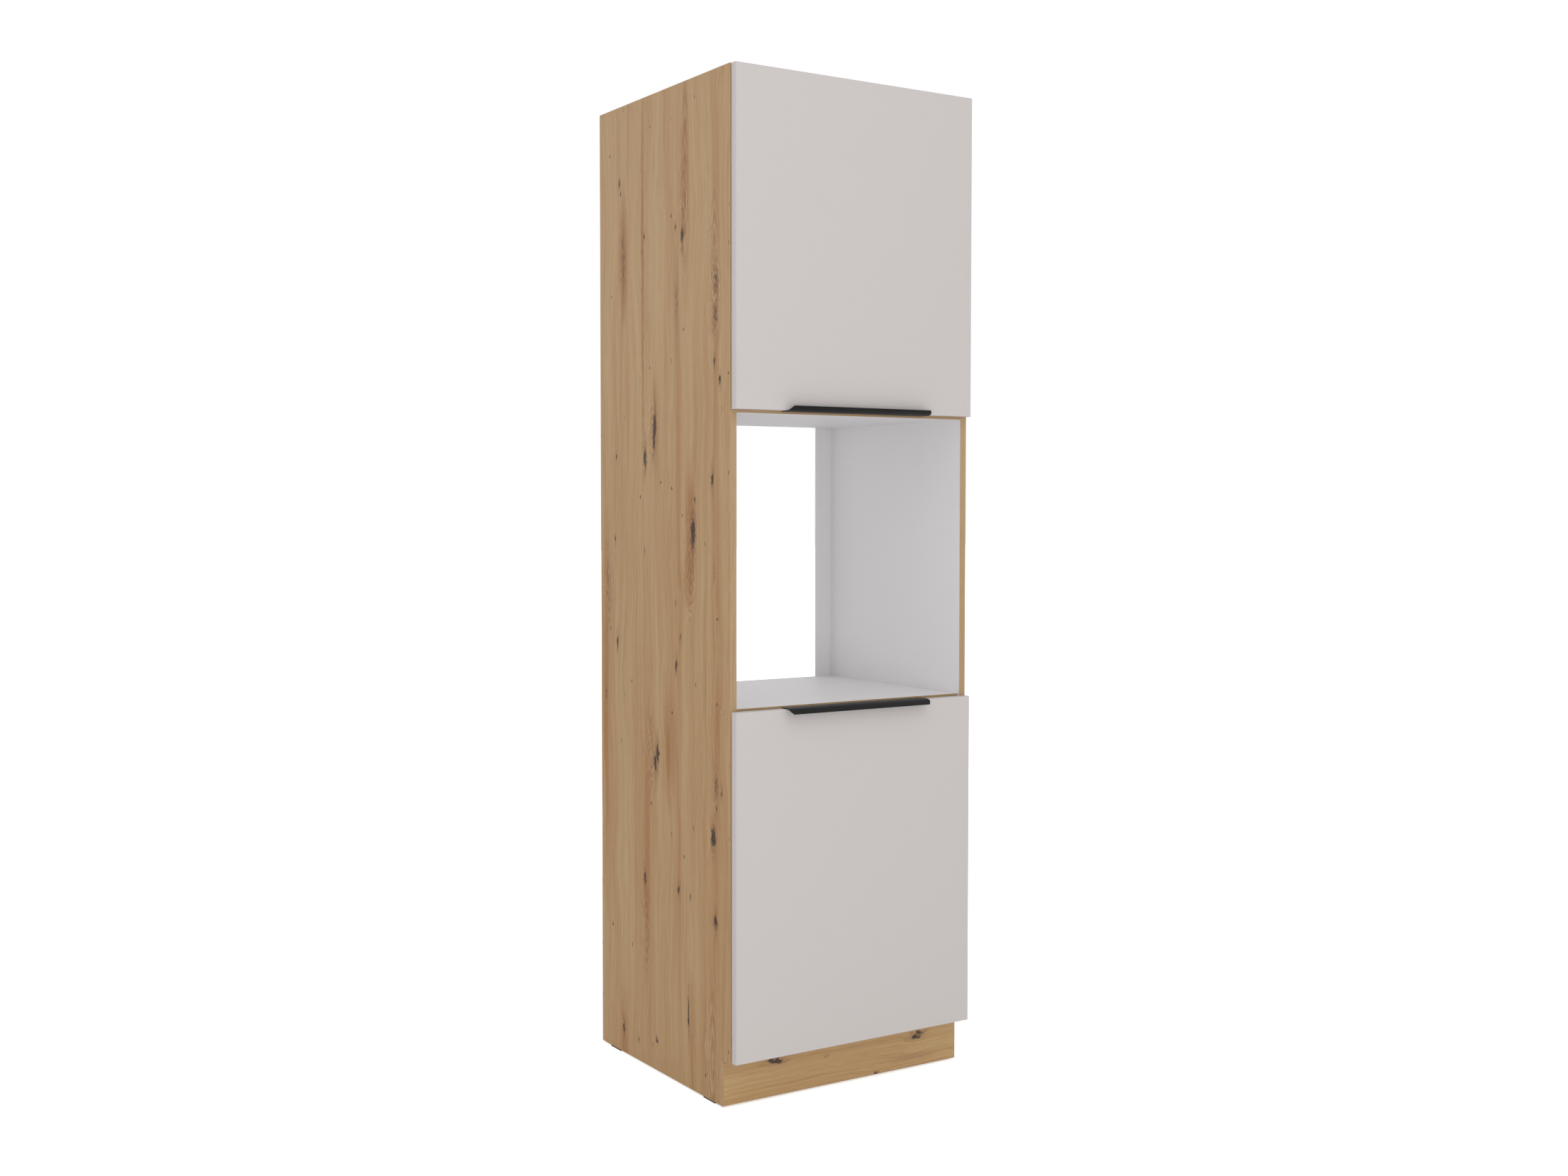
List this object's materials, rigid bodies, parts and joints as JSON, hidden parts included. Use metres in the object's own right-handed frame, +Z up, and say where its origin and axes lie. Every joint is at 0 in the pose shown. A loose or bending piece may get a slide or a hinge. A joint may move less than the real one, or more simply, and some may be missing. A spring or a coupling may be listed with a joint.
{
  "type": "appliance housing cabinet",
  "caption": "Tall kitchen cabinet that houses a built-in oven in an open niche, with a hinged door above and below it, edge-grip handles, adjustable shelves and a set-back plinth.",
  "frame": {"origin": "on the floor, under the middle of the finished cabinet with its doors, handles and caps", "axes": "+Z up along the height, +Y back towards the wall, +X to the right as seen from the front"},
  "size_m": [0.6016, 0.602, 2.1],
  "materials": {
    "oak_white_board": "15 mm faced particle board: oak-grain decor outside, matt white inside",
    "white_board": "15 mm faced particle board, matt white",
    "oak_band": "edge band with oak-grain decor, satin",
    "white_band": "edge band, matt white",
    "oak_plinth": "faced board with level oak grain, satin",
    "white_sheet": "3 mm painted hardboard, matt white",
    "upper_door_board": "15 mm faced board, matt warm grey",
    "lower_door_board": "15 mm faced board, matt warm grey",
    "door_band": "1 mm edge band, matt warm grey",
    "black_handle": "matt black powder coat",
    "zinc_screw": "zinc plated",
    "cap_plastic": "pale beige plastic, satin",
    "pin_steel": "nickel plated",
    "hinge_metal": "nickel plated",
    "white_plastic": "white moulded plastic",
    "glide_plastic": "black moulded plastic",
    "bumper_rubber": "clear soft bumper"
  },
  "bodies": {
    "carcass": {"side_panel_left": "oak_white_board", "side_panel_right": "oak_white_board", "bottom_panel": "white_board", "niche_floor_panel": "white_board", "niche_ceiling_panel": "white_board", "top_panel": "white_board", "lower_shelf": "white_board", "upper_shelf": "white_board", "side_front_band_left": "oak_band", "side_front_band_right": "oak_band", "bottom_front_band": "oak_band", "niche_floor_front_band": "oak_band", "niche_ceiling_front_band": "oak_band", "top_front_band": "oak_band", "plinth_end_bands": "oak_band", "shelf_front_bands": "white_band", "plinth_board": "oak_plinth", "back_panel_upper": "white_sheet", "back_panel_lower": "white_sheet", "niche_back_strip_left": "white_sheet", "niche_back_strip_right": "white_sheet", "carcass_screws": "zinc_screw", "hinge_plate_screws": "zinc_screw", "hinge_arm_screws": "zinc_screw", "plinth_block_screws": "zinc_screw", "screw_cover_caps": "cap_plastic", "shelf_pins": "pin_steel", "hinge_mounting_plates": "hinge_metal", "hinge_arms": "hinge_metal", "plinth_corner_blocks": "white_plastic", "floor_glides": "glide_plastic"},
    "upper_door": {"upper_door_panel": "upper_door_board", "upper_door_left_band": "door_band", "upper_door_right_band": "door_band", "upper_door_bottom_band": "door_band", "upper_door_top_band": "door_band", "upper_handle": "black_handle", "upper_handle_screws": "zinc_screw", "upper_cup_screws": "zinc_screw", "upper_hinge_pins": "pin_steel", "upper_hinge_cups": "hinge_metal", "upper_door_bumpers": "bumper_rubber"},
    "lower_door": {"lower_door_panel": "lower_door_board", "lower_door_left_band": "door_band", "lower_door_right_band": "door_band", "lower_door_bottom_band": "door_band", "lower_door_top_band": "door_band", "lower_handle": "black_handle", "lower_handle_screws": "zinc_screw", "lower_cup_screws": "zinc_screw", "lower_hinge_pins": "pin_steel", "lower_hinge_cups": "hinge_metal", "lower_door_bumpers": "bumper_rubber"}
  },
  "joints": [
    {"name": "upper_door_swing", "type": "hinge", "parent": "carcass", "child": "upper_door", "pos_m": [0.2918, -0.27232, 1.7585], "axis": [0, 0, 1], "range_deg": [0, 95]},
    {"name": "lower_door_swing", "type": "hinge", "parent": "carcass", "child": "lower_door", "pos_m": [0.2918, -0.27232, 0.457], "axis": [0, 0, 1], "range_deg": [0, 95]}
  ]
}
